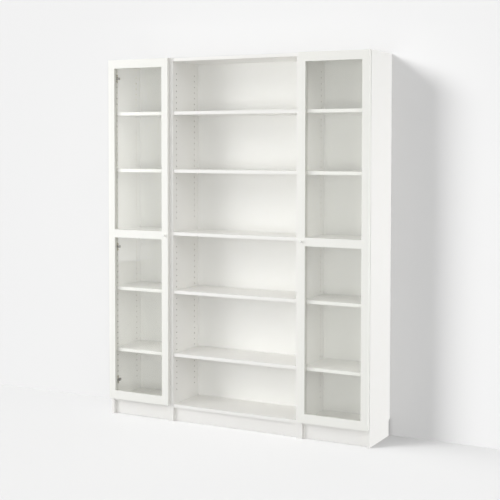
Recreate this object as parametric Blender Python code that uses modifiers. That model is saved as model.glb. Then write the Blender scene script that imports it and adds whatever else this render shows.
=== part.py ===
"""A bookcase made of three units side by side, the outer two with glass doors.

Metres, +Z up. X runs from left to right and Y from the room to the wall. The origin is the centre
of the whole bookcase's base. Each case has its own empty at its lower left front corner, and each
door has one on its hinge axis, so that every piece is placed from the piece that carries it.
"""

import math

import bmesh
import bpy
from mathutils import Matrix

# Clearances and overruns
CLEARANCE = 0.0003
RUNNING_GAP = 0.0005
OVERRUN = 0.004

# Cases
NARROW_CASE_WIDTH = 0.400
WIDE_CASE_WIDTH = 0.800
CASE_HEIGHT = 2.020
CASE_DEPTH = 0.280
SIDE_THICKNESS = 0.018
BOARD_THICKNESS = 0.018
BOARD_SETBACK = 0.003
TOP_DROP = 0.002
FIXED_SHELF_TOP = 1.0575
BOTTOM_UNDERSIDE = 0.0775
PLINTH_SETBACK = 0.0195
PLINTH_THICKNESS = 0.016
PLINTH_FLOOR_GAP = 0.001

# Notch at the back of each side that lets the case stand against a wall with a skirting board
NOTCH_DEPTH = 0.016
NOTCH_HEIGHT = 0.080
NOTCH_SLOPE = 0.010

# Back panel, which slides down a groove in each side
BACK_THICKNESS = 0.003
BACK_INSET = 0.0135
GROOVE_DEPTH = 0.006

# Rows of shelf pin holes
HOLE_RADIUS = 0.0025
HOLE_DEPTH = 0.0105
HOLE_PITCH = 0.032
FIRST_HOLE_HEIGHT = 0.1735
HOLE_MARGIN = 0.060
FRONT_COLUMN = 0.037
REAR_COLUMN_INSET = 0.0565
HOLE_SIDES = 4

# Adjustable shelves, each with the four pins that carry it
SHELF_THICKNESS = 0.018
SHELF_SETBACK = 0.006
SHELF_END_GAP = 0.001
SHELF_BACK_GAP = 0.0015
PIN_RADIUS = 0.0022
PIN_REACH = 0.009
PIN_ROOT = 0.006
PIN_SIDES = 6
LOWER_SHELF_SHARES = (0.286, 0.659)
UPPER_SHELF_SHARES = (0.352, 0.692)

# Doors
DOOR_THICKNESS = 0.020
DOOR_GAP = 0.003
DOOR_SIDE_REVEAL = 0.001
DOOR_TOP_DROP = 0.002
DOOR_BOTTOM_LIFT = 0.014
STILE_WIDTH = 0.0405
END_RAIL_HEIGHT = 0.048
MID_RAIL_HEIGHT = 0.045
MID_RAIL_OVER_SHELF = 0.004
LIP_THICKNESS = 0.0150
REBATE_WIDTH = 0.006
GLASS_THICKNESS = 0.003
BEAD_PROUD = 0.0015

# Hinge axis of a door, from its outer front corner
AXIS_INSET = 0.007
AXIS_DEPTH = 0.003

# Concealed hinges: a cup with its link in the door, and an arm on the case
CUP_RADIUS = 0.013
CUP_DEPTH = 0.011
CUP_WALL = 0.001
CUP_INSET = 0.018
CUP_SIDES = 14
FLANGE_THICKNESS = 0.0012
FLANGE_HALF_HEIGHT = 0.024
FLANGE_HALF_WIDTH = 0.008
LINK_HEIGHT = 0.010
LINK_THICKNESS = 0.005
ARM_HEIGHT = 0.013
ARM_THICKNESS = 0.005
ARM_STANDOFF = 0.008
ARM_TAIL = 0.026
ARM_NOSE_WIDTH = 0.008
PLATE_THICKNESS = 0.002
PLATE_HALF_HEIGHT = 0.023
PLATE_HALF_WIDTH = 0.007
CORNER_STEPS = 3

# Knob and the screw that holds it
KNOB_HEAD_RADIUS = 0.007
KNOB_NECK_RADIUS = 0.0042
KNOB_FOOT_RADIUS = 0.0058
KNOB_PROJECTION = 0.018
KNOB_HEAD_LENGTH = 0.008
KNOB_FOOT_LENGTH = 0.002
KNOB_ROUNDING = 0.002
KNOB_STEPS = 16
SCREW_RADIUS = 0.002
SCREW_STOP = 0.001
SCREW_SIDES = 6

# Bent steel bracket that ties each case to the wall
BRACKET_THICKNESS = 0.0014
BRACKET_WIDTH = 0.040
BRACKET_SEAT = 0.045
BRACKET_DROP = 0.036
BRACKET_HOLE_RADIUS = 0.003
BRACKET_HOLE_EDGE = 0.012

# Places worked out from the sizes above
OVERALL_WIDTH = WIDE_CASE_WIDTH + 2 * (NARROW_CASE_WIDTH + CLEARANCE)
OVERALL_DEPTH = CASE_DEPTH + DOOR_GAP + DOOR_THICKNESS + KNOB_PROJECTION
CASE_FRONT = OVERALL_DEPTH / 2 - CASE_DEPTH
BOTTOM_TOP = BOTTOM_UNDERSIDE + BOARD_THICKNESS
FIXED_SHELF_UNDERSIDE = FIXED_SHELF_TOP - BOARD_THICKNESS
TOP_UNDERSIDE = CASE_HEIGHT - TOP_DROP - BOARD_THICKNESS
BACK_REAR = CASE_DEPTH - BACK_INSET
BACK_FRONT = BACK_REAR - BACK_THICKNESS
BACK_BOTTOM = NOTCH_HEIGHT + NOTCH_SLOPE + CLEARANCE
REAR_COLUMN = CASE_DEPTH - REAR_COLUMN_INSET
DOOR_BOTTOM = BOTTOM_UNDERSIDE + DOOR_BOTTOM_LIFT
DOOR_TOP = CASE_HEIGHT - DOOR_TOP_DROP
DOOR_WIDTH = NARROW_CASE_WIDTH - 2 * DOOR_SIDE_REVEAL
DOOR_BACK = DOOR_THICKNESS - AXIS_DEPTH
MID_RAIL_TOP = FIXED_SHELF_TOP + MID_RAIL_OVER_SHELF
MID_RAIL_BOTTOM = MID_RAIL_TOP - MID_RAIL_HEIGHT
MID_RAIL_CENTRE = MID_RAIL_TOP - MID_RAIL_HEIGHT / 2
CUP_CENTRE = CUP_INSET - AXIS_INSET

# Colours and finishes: base colour, roughness, metallic, alpha
FINISHES = {
    "white_foil": ((0.86, 0.86, 0.84), 0.45, 0.0, 1.0),
    "white_back_board": ((0.80, 0.80, 0.78), 0.60, 0.0, 1.0),
    "door_lacquer": ((0.88, 0.88, 0.86), 0.38, 0.0, 1.0),
    "tempered_glass": ((0.86, 0.93, 0.89), 0.03, 0.0, 0.25),
    "white_bead": ((0.82, 0.82, 0.80), 0.50, 0.0, 1.0),
    "nickelled_steel": ((0.60, 0.59, 0.57), 0.30, 1.0, 1.0),
    "white_enamel": ((0.90, 0.90, 0.88), 0.25, 0.0, 1.0),
    "zinc_plate": ((0.62, 0.63, 0.65), 0.35, 1.0, 1.0),
}

# Turns a profile drawn in X and Y, with its thickness along Z, to Y and Z with thickness along X
PROFILE_ALONG_X = Matrix(((0, 0, 1, 0), (1, 0, 0, 0), (0, 1, 0, 0), (0, 0, 0, 1)))


def clear_scene():
    for obj in list(bpy.data.objects):
        bpy.data.objects.remove(obj, do_unlink=True)


def new_collection(name):
    collection = bpy.data.collections.new(name)
    bpy.context.scene.collection.children.link(collection)
    return collection


def new_material(name, colour, roughness, metallic, alpha):
    material = bpy.data.materials.new(name)
    material.use_nodes = True
    shader = material.node_tree.nodes["Principled BSDF"]
    shader.inputs["Base Color"].default_value = (*colour, 1.0)
    shader.inputs["Roughness"].default_value = roughness
    shader.inputs["Metallic"].default_value = metallic
    shader.inputs["Alpha"].default_value = alpha
    material.diffuse_color = (*colour, alpha)
    return material


clear_scene()
PARTS = new_collection("bookcase_with_glass_doors")
CUTTERS = new_collection("cutters")
MATERIALS = {name: new_material(name, *values) for name, values in FINISHES.items()}


def add_box(mesh, low, high):
    """Adds a box between two corners to a bmesh."""
    size = [b - a for a, b in zip(low, high)]
    centre = [(a + b) / 2 for a, b in zip(low, high)]
    place = Matrix.Translation(centre) @ Matrix.Diagonal((*size, 1.0))
    bmesh.ops.create_cube(mesh, size=1.0, matrix=place)


def add_rod(mesh, radius, start, end, sides):
    """Adds a straight rod whose flats lie at the radius, from one centre point to another on one axis."""
    length = sum(abs(b - a) for a, b in zip(start, end))
    centre = [(a + b) / 2 for a, b in zip(start, end)]
    if start[0] != end[0]:
        turn = Matrix.Rotation(math.pi / 2, 4, "Y")
    elif start[1] != end[1]:
        turn = Matrix.Rotation(math.pi / 2, 4, "X")
    else:
        turn = Matrix.Identity(4)
    corner_radius = radius / math.cos(math.pi / sides)
    bmesh.ops.create_cone(
        mesh,
        cap_ends=True,
        segments=sides,
        radius1=corner_radius,
        radius2=corner_radius,
        depth=length,
        matrix=Matrix.Translation(centre) @ turn,
    )


def place(obj, parent, location):
    obj.parent = parent
    obj.location = location
    return obj


def solid(name, fill, finish, parent, location=(0, 0, 0)):
    """A visible piece whose shape the fill function adds to a bmesh, in the piece's own frame."""
    data = bpy.data.meshes.new(name)
    mesh = bmesh.new()
    fill(mesh)
    mesh.to_mesh(data)
    mesh.free()
    data.materials.append(MATERIALS[finish])
    obj = bpy.data.objects.new(name, data)
    PARTS.objects.link(obj)
    return place(obj, parent, location)


def helper(name, fill, parent, location=(0, 0, 0)):
    """A shape that is only cut from a piece, or joined to one."""
    data = bpy.data.meshes.new(name)
    mesh = bmesh.new()
    fill(mesh)
    mesh.to_mesh(data)
    mesh.free()
    obj = bpy.data.objects.new(name, data)
    CUTTERS.objects.link(obj)
    obj.hide_render = True
    obj.display_type = "WIRE"
    return place(obj, parent, location)


def combine(obj, other, operation):
    modifier = obj.modifiers.new(other.name, "BOOLEAN")
    modifier.operation = operation
    modifier.solver = "EXACT"
    modifier.object = other


def plate_mesh(name, outline, thickness):
    """A flat outline with thickness, as a welded mesh centred on its own plane."""
    curve = bpy.data.curves.new(name, "CURVE")
    curve.dimensions = "2D"
    curve.fill_mode = "BOTH"
    curve.extrude = thickness / 2
    spline = curve.splines.new("POLY")
    spline.points.add(len(outline) - 1)
    for point, (x, y) in zip(spline.points, outline):
        point.co = (x, y, 0, 1)
    spline.use_cyclic_u = True
    drawn = bpy.data.objects.new(name, curve)
    CUTTERS.objects.link(drawn)
    graph = bpy.context.evaluated_depsgraph_get()
    data = bpy.data.meshes.new_from_object(drawn.evaluated_get(graph))
    bpy.data.objects.remove(drawn, do_unlink=True)
    mesh = bmesh.new()
    mesh.from_mesh(data)
    bmesh.ops.remove_doubles(mesh, verts=mesh.verts, dist=OVERRUN / 1000)
    bmesh.ops.recalc_face_normals(mesh, faces=mesh.faces)
    mesh.to_mesh(data)
    mesh.free()
    data.name = name
    return data


def plate(name, outline, thickness, finish, parent, location, turn=None):
    """A visible piece cut from a flat outline, turned as a whole if asked."""
    data = plate_mesh(name, outline, thickness)
    if turn is not None:
        data.transform(turn)
    data.materials.clear()
    data.materials.append(MATERIALS[finish])
    obj = bpy.data.objects.new(name, data)
    PARTS.objects.link(obj)
    return place(obj, parent, location)


def helper_plate(name, outline, thickness, parent, location, turn=None):
    """A flat outline with thickness that is only joined to a piece."""
    data = plate_mesh(name, outline, thickness)
    if turn is not None:
        data.transform(turn)
    obj = bpy.data.objects.new(name, data)
    CUTTERS.objects.link(obj)
    obj.hide_render = True
    obj.display_type = "WIRE"
    return place(obj, parent, location)


def turned(name, profile, steps, finish, parent, location, turn):
    """A turned piece: its profile is given as radius and height, from its top down."""
    data = bpy.data.meshes.new(name)
    mesh = bmesh.new()
    points = [mesh.verts.new((radius, 0, height)) for radius, height in profile]
    for above, below in zip(points, points[1:]):
        mesh.edges.new((above, below))
    mesh.to_mesh(data)
    mesh.free()
    data.materials.append(MATERIALS[finish])
    obj = bpy.data.objects.new(name, data)
    PARTS.objects.link(obj)
    screw = obj.modifiers.new("turn", "SCREW")
    screw.steps = steps
    screw.render_steps = steps
    screw.use_merge_vertices = True
    screw.merge_threshold = OVERRUN / 1000
    screw.use_smooth_shade = True
    obj.rotation_euler = turn
    return place(obj, parent, location)


def rounded_rectangle(half_width, half_height, radius):
    """The corner points of a rectangle with round corners, going round anticlockwise."""
    points = []
    for quarter in range(4):
        x_sign = 1 if quarter in (0, 3) else -1
        y_sign = 1 if quarter in (0, 1) else -1
        for step in range(CORNER_STEPS + 1):
            angle = (quarter + step / CORNER_STEPS) * math.pi / 2
            x = x_sign * (half_width - radius) + radius * math.cos(angle)
            y = y_sign * (half_height - radius) + radius * math.sin(angle)
            points.append((x, y))
    return points


def hole_rows():
    """Heights of the shelf pin holes below and above the fixed shelf."""
    lower, upper = [], []
    height = FIRST_HOLE_HEIGHT
    while height < TOP_UNDERSIDE - HOLE_MARGIN:
        if BOTTOM_TOP + HOLE_MARGIN <= height <= FIXED_SHELF_UNDERSIDE - HOLE_MARGIN:
            lower.append(height)
        if height >= FIXED_SHELF_TOP + HOLE_MARGIN:
            upper.append(height)
        height += HOLE_PITCH
    return lower, upper


LOWER_ROWS, UPPER_ROWS = hole_rows()


def shelf_rows():
    """The row of pin holes that carries each adjustable shelf, from the lowest up."""
    rows = []
    for share in LOWER_SHELF_SHARES:
        wanted = BOTTOM_TOP + share * (FIXED_SHELF_UNDERSIDE - BOTTOM_TOP)
        rows.append(min(LOWER_ROWS, key=lambda row: abs(row - wanted)))
    for share in UPPER_SHELF_SHARES:
        wanted = FIXED_SHELF_TOP + share * (TOP_UNDERSIDE - FIXED_SHELF_TOP)
        rows.append(min(UPPER_ROWS, key=lambda row: abs(row - wanted)))
    return rows


def hinge_heights():
    """Each hinge sits between two neighbouring pin holes: at the foot, below the middle and at the top."""
    pairs = (LOWER_ROWS[:2], LOWER_ROWS[-2:], UPPER_ROWS[-2:])
    return [sum(pair) / 2 for pair in pairs]


def side_outline():
    """The side seen from its end: front edge at 0, with the skirting notch at the lower back."""
    notch_front = CASE_DEPTH - NOTCH_DEPTH
    return [
        (0, 0),
        (notch_front, 0),
        (notch_front, NOTCH_HEIGHT),
        (CASE_DEPTH, NOTCH_HEIGHT + NOTCH_SLOPE),
        (CASE_DEPTH, CASE_HEIGHT),
        (0, CASE_HEIGHT),
    ]


def side(name, case, left_face, inward):
    """One side, with its two columns of pin holes and the groove for the back panel on its inner face."""
    centre = left_face + SIDE_THICKNESS / 2
    inner = centre + inward * SIDE_THICKNESS / 2
    panel = plate(
        name, side_outline(), SIDE_THICKNESS, "white_foil", case, (centre, 0, 0), PROFILE_ALONG_X
    )

    def holes(mesh):
        for column in (FRONT_COLUMN, REAR_COLUMN):
            for row in LOWER_ROWS + UPPER_ROWS:
                start = (inner - inward * HOLE_DEPTH, column, row)
                end = (inner + inward * OVERRUN, column, row)
                add_rod(mesh, HOLE_RADIUS, start, end, HOLE_SIDES)

    def groove(mesh):
        across = sorted((inner - inward * GROOVE_DEPTH, inner + inward * OVERRUN))
        low = (across[0], BACK_FRONT - CLEARANCE, BACK_BOTTOM - CLEARANCE)
        high = (across[1], BACK_REAR + CLEARANCE, CASE_HEIGHT + OVERRUN)
        add_box(mesh, low, high)

    combine(panel, helper(name + "_holes", holes, case), "DIFFERENCE")
    combine(panel, helper(name + "_groove", groove, case), "DIFFERENCE")
    return panel


def board(name, case, x_range, y_range, z_range, finish="white_foil"):
    """A plain board, whose origin is its lower left front corner."""
    low = (x_range[0], y_range[0], z_range[0])
    size = (x_range[1] - x_range[0], y_range[1] - y_range[0], z_range[1] - z_range[0])
    return solid(name, lambda mesh: add_box(mesh, (0, 0, 0), size), finish, case, low)


def adjustable_shelf(name, case, width, row):
    """A loose shelf with the four pins it rests on, hidden in the thickness of its underside."""
    left = SIDE_THICKNESS + SHELF_END_GAP
    right = width - SIDE_THICKNESS - SHELF_END_GAP
    underside = row - HOLE_RADIUS
    rear = BACK_FRONT - SHELF_BACK_GAP
    shelf = board(
        name, case, (left, right), (SHELF_SETBACK, rear), (underside, underside + SHELF_THICKNESS)
    )

    def pins(mesh):
        for column in (FRONT_COLUMN, REAR_COLUMN):
            start = (SIDE_THICKNESS - PIN_REACH, column, row)
            add_rod(mesh, PIN_RADIUS, start, (left + PIN_ROOT, column, row), PIN_SIDES)
            end = (width - SIDE_THICKNESS + PIN_REACH, column, row)
            add_rod(mesh, PIN_RADIUS, (right - PIN_ROOT, column, row), end, PIN_SIDES)

    combine(shelf, helper(name + "_pins", pins, case), "UNION")
    return shelf


def wall_bracket(name, case, width):
    """A bent bracket screwed on the top panel, with its other leg flat against the wall."""
    seat = CASE_HEIGHT - TOP_DROP + CLEARANCE
    over = seat + BRACKET_THICKNESS
    rear = CASE_DEPTH
    outline = [
        (rear - BRACKET_SEAT, seat),
        (rear - BRACKET_THICKNESS, seat),
        (rear - BRACKET_THICKNESS, over - BRACKET_DROP),
        (rear, over - BRACKET_DROP),
        (rear, over),
        (rear - BRACKET_SEAT, over),
    ]
    place_at = (width / 2, 0, 0)
    bracket = plate(
        name, outline, BRACKET_WIDTH, "zinc_plate", case, place_at, PROFILE_ALONG_X
    )

    def holes(mesh):
        y = rear - BRACKET_SEAT + BRACKET_HOLE_EDGE
        add_rod(
            mesh, BRACKET_HOLE_RADIUS, (0, y, seat - OVERRUN), (0, y, over + OVERRUN), SCREW_SIDES
        )
        z = over - BRACKET_DROP + BRACKET_HOLE_EDGE
        front_end = (0, rear - BRACKET_THICKNESS - OVERRUN, z)
        add_rod(mesh, BRACKET_HOLE_RADIUS, front_end, (0, rear + OVERRUN, z), SCREW_SIDES)

    combine(bracket, helper(name + "_holes", holes, case, place_at), "DIFFERENCE")
    return bracket


def build_case(name, left, width):
    """One case: two sides, top, fixed shelf, bottom, plinth, back and the adjustable shelves."""
    case = bpy.data.objects.new(name, None)
    PARTS.objects.link(case)
    case.location = (left, CASE_FRONT, 0)
    side(name + "_side_left", case, 0, 1)
    side(name + "_side_right", case, width - SIDE_THICKNESS, -1)

    between = (SIDE_THICKNESS + CLEARANCE, width - SIDE_THICKNESS - CLEARANCE)
    depth = (BOARD_SETBACK, BACK_FRONT - CLEARANCE)
    board(name + "_top", case, between, depth, (TOP_UNDERSIDE, CASE_HEIGHT - TOP_DROP))
    board(name + "_fixed_shelf", case, between, depth, (FIXED_SHELF_UNDERSIDE, FIXED_SHELF_TOP))
    board(name + "_bottom", case, between, depth, (BOTTOM_UNDERSIDE, BOTTOM_TOP))

    plinth_depth = (PLINTH_SETBACK, PLINTH_SETBACK + PLINTH_THICKNESS)
    plinth_height = (PLINTH_FLOOR_GAP, BOTTOM_UNDERSIDE - CLEARANCE)
    board(name + "_plinth", case, between, plinth_depth, plinth_height)

    in_groove = SIDE_THICKNESS - GROOVE_DEPTH + CLEARANCE
    back_height = (BACK_BOTTOM, CASE_HEIGHT - TOP_DROP)
    back_depth = (BACK_FRONT, BACK_REAR)
    back_width = (in_groove, width - in_groove)
    board(name + "_back", case, back_width, back_depth, back_height, "white_back_board")

    for number, row in enumerate(shelf_rows(), start=1):
        adjustable_shelf(f"{name}_shelf_{number}", case, width, row)
    wall_bracket(name + "_wall_bracket", case, width)
    return case


def hinge_arm(name, case, inner_face, hand, height):
    """The hinge half on the case: a plate with two screws in the pin holes, and the arm over it.

    Its frame has X pointing into the case from the side's inner face, and Y from the front column
    of holes to the wall. A right hand arm is the same piece turned half round.
    """
    nose = CLEARANCE - FRONT_COLUMN
    profile = [
        (CLEARANCE, ARM_TAIL),
        (CLEARANCE, -PLATE_HALF_WIDTH),
        (ARM_STANDOFF, -PLATE_HALF_WIDTH),
        (ARM_STANDOFF, nose / 2 - PLATE_HALF_WIDTH / 2),
        (ARM_STANDOFF - ARM_THICKNESS / 2, nose),
        (ARM_STANDOFF - ARM_THICKNESS / 2 + ARM_NOSE_WIDTH, nose),
        (ARM_STANDOFF + ARM_THICKNESS, nose + ARM_NOSE_WIDTH),
        (ARM_STANDOFF + ARM_THICKNESS, ARM_TAIL - ARM_THICKNESS),
        (ARM_STANDOFF, ARM_TAIL),
    ]
    location = (inner_face, FRONT_COLUMN, height)
    arm = plate(name, profile, ARM_HEIGHT, "nickelled_steel", case, location)
    wing_outline = rounded_rectangle(PLATE_HALF_WIDTH, PLATE_HALF_HEIGHT, PLATE_HALF_WIDTH / 2)
    wing_place = (inner_face + hand * (CLEARANCE + PLATE_THICKNESS / 2), FRONT_COLUMN, height)
    wing = helper_plate(
        name + "_wing", wing_outline, PLATE_THICKNESS, case, wing_place, PROFILE_ALONG_X
    )
    reach = HOLE_DEPTH - CLEARANCE

    def screws(mesh):
        for step in (-HOLE_PITCH / 2, HOLE_PITCH / 2):
            start = (inner_face - hand * reach, FRONT_COLUMN, height + step)
            head = inner_face + hand * (CLEARANCE + PLATE_THICKNESS + PLATE_THICKNESS / 2)
            add_rod(mesh, PIN_RADIUS, start, (head, FRONT_COLUMN, height + step), PIN_SIDES)

    if hand < 0:
        arm.rotation_euler = (0, math.pi, 0)
    combine(arm, wing, "UNION")
    combine(arm, helper(name + "_screws", screws, case), "UNION")
    return arm


def hinge_cup(name, axis, hand, height):
    """The hinge half in the door: a hollow cup with its screw flange, and the link that leaves it."""
    centre_x = hand * CUP_CENTRE
    flange_centre = DOOR_BACK + CLEARANCE + FLANGE_THICKNESS / 2
    outline = rounded_rectangle(FLANGE_HALF_HEIGHT, FLANGE_HALF_WIDTH, FLANGE_HALF_WIDTH / 2)
    upright = Matrix.Rotation(math.pi / 2, 4, "Y") @ Matrix.Rotation(math.pi / 2, 4, "X")
    cup = plate(
        name,
        outline,
        FLANGE_THICKNESS,
        "nickelled_steel",
        axis,
        (centre_x, flange_centre, height),
        upright,
    )
    floor = DOOR_BACK - CUP_DEPTH + CLEARANCE
    mouth = DOOR_BACK + CLEARANCE + FLANGE_THICKNESS

    def outside(mesh):
        start = (centre_x, floor, height)
        add_rod(mesh, CUP_RADIUS - CLEARANCE, start, (centre_x, mouth, height), CUP_SIDES)

    def inside(mesh):
        start = (centre_x, floor + CUP_WALL, height)
        end = (centre_x, mouth + OVERRUN, height)
        add_rod(mesh, CUP_RADIUS - CLEARANCE - CUP_WALL, start, end, CUP_SIDES)

    combine(cup, helper(name + "_outside", outside, axis), "UNION")
    combine(cup, helper(name + "_inside", inside, axis), "DIFFERENCE")

    tip = DOOR_BACK + DOOR_GAP - RUNNING_GAP
    nose_middle = SIDE_THICKNESS + ARM_STANDOFF - ARM_THICKNESS / 2 + ARM_NOSE_WIDTH / 2
    tip_x = nose_middle - DOOR_SIDE_REVEAL - AXIS_INSET
    link_outline = [
        (hand * (CUP_CENTRE - LINK_THICKNESS), floor),
        (hand * (CUP_CENTRE + LINK_THICKNESS / 2), floor),
        (hand * (tip_x + LINK_THICKNESS / 2), tip),
        (hand * (tip_x - LINK_THICKNESS / 2), tip),
        (hand * (CUP_CENTRE - LINK_THICKNESS), floor + CUP_DEPTH / 2),
    ]
    link = helper_plate(name + "_link", link_outline, LINK_HEIGHT, axis, (0, 0, height))
    combine(cup, link, "UNION")
    return cup


def knob(name, axis, x, height):
    """The turned knob, with its screw through the stile. It is turned about Z and laid forward."""
    face = KNOB_PROJECTION
    head_base = face - KNOB_HEAD_LENGTH
    profile = [(0, face)]
    for step in range(CORNER_STEPS + 1):
        angle = step / CORNER_STEPS * math.pi / 2
        radius = KNOB_HEAD_RADIUS - KNOB_ROUNDING + KNOB_ROUNDING * math.sin(angle)
        profile.append((radius, face - KNOB_ROUNDING + KNOB_ROUNDING * math.cos(angle)))
    profile += [
        (KNOB_HEAD_RADIUS, head_base + KNOB_ROUNDING / 2),
        (KNOB_NECK_RADIUS, head_base - KNOB_ROUNDING),
        (KNOB_NECK_RADIUS, KNOB_FOOT_LENGTH + KNOB_ROUNDING / 2),
        (KNOB_FOOT_RADIUS, KNOB_FOOT_LENGTH),
        (KNOB_FOOT_RADIUS, CLEARANCE),
        (SCREW_RADIUS, CLEARANCE),
        (SCREW_RADIUS, SCREW_STOP - DOOR_THICKNESS),
        (0, SCREW_STOP - DOOR_THICKNESS),
    ]
    lay_forward = (math.pi / 2, 0, 0)
    place_at = (x, -AXIS_DEPTH, height)
    return turned(name, profile, KNOB_STEPS, "white_enamel", axis, place_at, lay_forward)


def across(hand, start, end):
    """The two X limits, lower first, of a stretch measured from the hinge edge of a door."""
    return sorted((hand * (start - AXIS_INSET), hand * (end - AXIS_INSET)))


def glazing(name, axis, hand, z_range):
    """One pane in its rebate, and the bead that holds it from behind."""
    reach = REBATE_WIDTH - CLEARANCE
    x_low, x_high = across(hand, STILE_WIDTH - reach, DOOR_WIDTH - STILE_WIDTH + reach)
    z_low, z_high = z_range[0] - reach, z_range[1] + reach
    pane_front = LIP_THICKNESS - AXIS_DEPTH + CLEARANCE
    pane_back = pane_front + GLASS_THICKNESS

    def fill_pane(mesh):
        add_box(mesh, (x_low, pane_front, z_low), (x_high, pane_back, z_high))

    solid(name.replace("*", "glass"), fill_pane, "tempered_glass", axis)
    bead_front = pane_back + CLEARANCE
    bead_back = DOOR_BACK + BEAD_PROUD

    def fill_bead(mesh):
        add_box(mesh, (x_low, bead_front, z_low), (x_high, bead_back, z_high))

    def bead_opening(mesh):
        low = (x_low + reach, bead_front - OVERRUN, z_low + reach)
        high = (x_high - reach, bead_back + OVERRUN, z_high - reach)
        add_box(mesh, low, high)

    bead_name = name.replace("*", "bead")
    bead = solid(bead_name, fill_bead, "white_bead", axis)
    combine(bead, helper(bead_name + "_opening", bead_opening, axis), "DIFFERENCE")


def door_frame(name, axis, hand, openings):
    """The frame of stiles and rails, rebated at the back, and bored for the cups and the knob."""
    x_low, x_high = across(hand, 0, DOOR_WIDTH)

    def fill_outer(mesh):
        add_box(mesh, (x_low, -AXIS_DEPTH, DOOR_BOTTOM), (x_high, DOOR_BACK, DOOR_TOP))

    def cut_openings(mesh):
        left, right = across(hand, STILE_WIDTH, DOOR_WIDTH - STILE_WIDTH)
        for low, high in openings:
            add_box(mesh, (left, -AXIS_DEPTH - OVERRUN, low), (right, DOOR_BACK + OVERRUN, high))

    def cut_rebates(mesh):
        start = STILE_WIDTH - REBATE_WIDTH
        left, right = across(hand, start, DOOR_WIDTH - start)
        front = LIP_THICKNESS - AXIS_DEPTH
        for low, high in openings:
            lower, upper = low - REBATE_WIDTH, high + REBATE_WIDTH
            add_box(mesh, (left, front, lower), (right, DOOR_BACK + OVERRUN, upper))

    def bore(mesh):
        x = hand * CUP_CENTRE
        for height in hinge_heights():
            start = (x, DOOR_BACK - CUP_DEPTH, height)
            add_rod(mesh, CUP_RADIUS, start, (x, DOOR_BACK + OVERRUN, height), CUP_SIDES)
        x = hand * (DOOR_WIDTH - STILE_WIDTH / 2 - AXIS_INSET)
        start = (x, -AXIS_DEPTH - OVERRUN, MID_RAIL_CENTRE)
        end = (x, DOOR_BACK + OVERRUN, MID_RAIL_CENTRE)
        add_rod(mesh, SCREW_RADIUS + CLEARANCE, start, end, SCREW_SIDES)

    frame = solid(name, fill_outer, "door_lacquer", axis)
    combine(frame, helper(name + "_openings", cut_openings, axis), "DIFFERENCE")
    combine(frame, helper(name + "_rebates", cut_rebates, axis), "DIFFERENCE")
    combine(frame, helper(name + "_bores", bore, axis), "DIFFERENCE")
    return frame


def build_door(name, case_name, case, case_left, hand):
    """A glass door hung on the left side of its case for hand 1, and on the right side for hand -1."""
    outer_edge = case_left + (DOOR_SIDE_REVEAL if hand > 0 else NARROW_CASE_WIDTH - DOOR_SIDE_REVEAL)
    axis = bpy.data.objects.new(name + "_axis", None)
    PARTS.objects.link(axis)
    front = CASE_FRONT - DOOR_GAP - DOOR_THICKNESS
    axis.location = (outer_edge + hand * AXIS_INSET, front + AXIS_DEPTH, 0)

    lower_opening = (DOOR_BOTTOM + END_RAIL_HEIGHT, MID_RAIL_BOTTOM)
    upper_opening = (MID_RAIL_TOP, DOOR_TOP - END_RAIL_HEIGHT)
    door_frame(name + "_frame", axis, hand, (lower_opening, upper_opening))
    glazing(name + "_*_lower", axis, hand, lower_opening)
    glazing(name + "_*_upper", axis, hand, upper_opening)
    knob_x = hand * (DOOR_WIDTH - STILE_WIDTH / 2 - AXIS_INSET)
    knob(name + "_knob", axis, knob_x, MID_RAIL_CENTRE)

    inner_face = SIDE_THICKNESS if hand > 0 else NARROW_CASE_WIDTH - SIDE_THICKNESS
    for number, height in enumerate(hinge_heights(), start=1):
        hinge_cup(f"{name}_hinge_cup_{number}", axis, hand, height)
        hinge_arm(f"{case_name}_hinge_arm_{number}", case, inner_face, hand, height)


def build_bookcase():
    left = -OVERALL_WIDTH / 2
    middle = left + NARROW_CASE_WIDTH + CLEARANCE
    right = middle + WIDE_CASE_WIDTH + CLEARANCE
    left_case = build_case("left_case", left, NARROW_CASE_WIDTH)
    build_case("middle_case", middle, WIDE_CASE_WIDTH)
    right_case = build_case("right_case", right, NARROW_CASE_WIDTH)
    build_door("left_door", "left_case", left_case, left, 1)
    build_door("right_door", "right_case", right_case, right, -1)


build_bookcase()
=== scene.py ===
"""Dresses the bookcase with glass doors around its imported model.

Metres, +Z up, X to the right and Y from the room to the wall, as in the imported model. Each case and
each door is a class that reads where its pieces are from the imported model, builds the fine piece
there and gives it its finish.
"""

from __future__ import annotations

import logging
import math
from collections.abc import Sequence
from dataclasses import dataclass
from enum import Enum

import bmesh
import bpy
from bpy.types import Material, Node, NodeSocket, NodeTree, Object
from mathutils import Matrix, Vector

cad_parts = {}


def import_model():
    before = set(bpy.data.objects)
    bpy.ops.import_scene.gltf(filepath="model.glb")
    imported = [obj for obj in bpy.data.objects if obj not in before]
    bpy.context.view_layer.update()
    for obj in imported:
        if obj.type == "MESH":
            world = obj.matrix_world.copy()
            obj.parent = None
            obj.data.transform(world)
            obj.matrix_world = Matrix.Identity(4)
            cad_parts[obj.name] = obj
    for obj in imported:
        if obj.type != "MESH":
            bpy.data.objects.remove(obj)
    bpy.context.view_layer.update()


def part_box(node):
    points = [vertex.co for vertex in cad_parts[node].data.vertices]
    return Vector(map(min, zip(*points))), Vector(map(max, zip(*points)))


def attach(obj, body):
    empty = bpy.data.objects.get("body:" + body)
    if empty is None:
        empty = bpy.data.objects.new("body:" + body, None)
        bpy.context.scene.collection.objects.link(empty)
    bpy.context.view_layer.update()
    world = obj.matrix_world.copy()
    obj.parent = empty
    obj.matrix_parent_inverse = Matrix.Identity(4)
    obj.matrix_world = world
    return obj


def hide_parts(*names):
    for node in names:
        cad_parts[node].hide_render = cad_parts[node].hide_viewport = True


LOG = logging.getLogger("bookcase")

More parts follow.
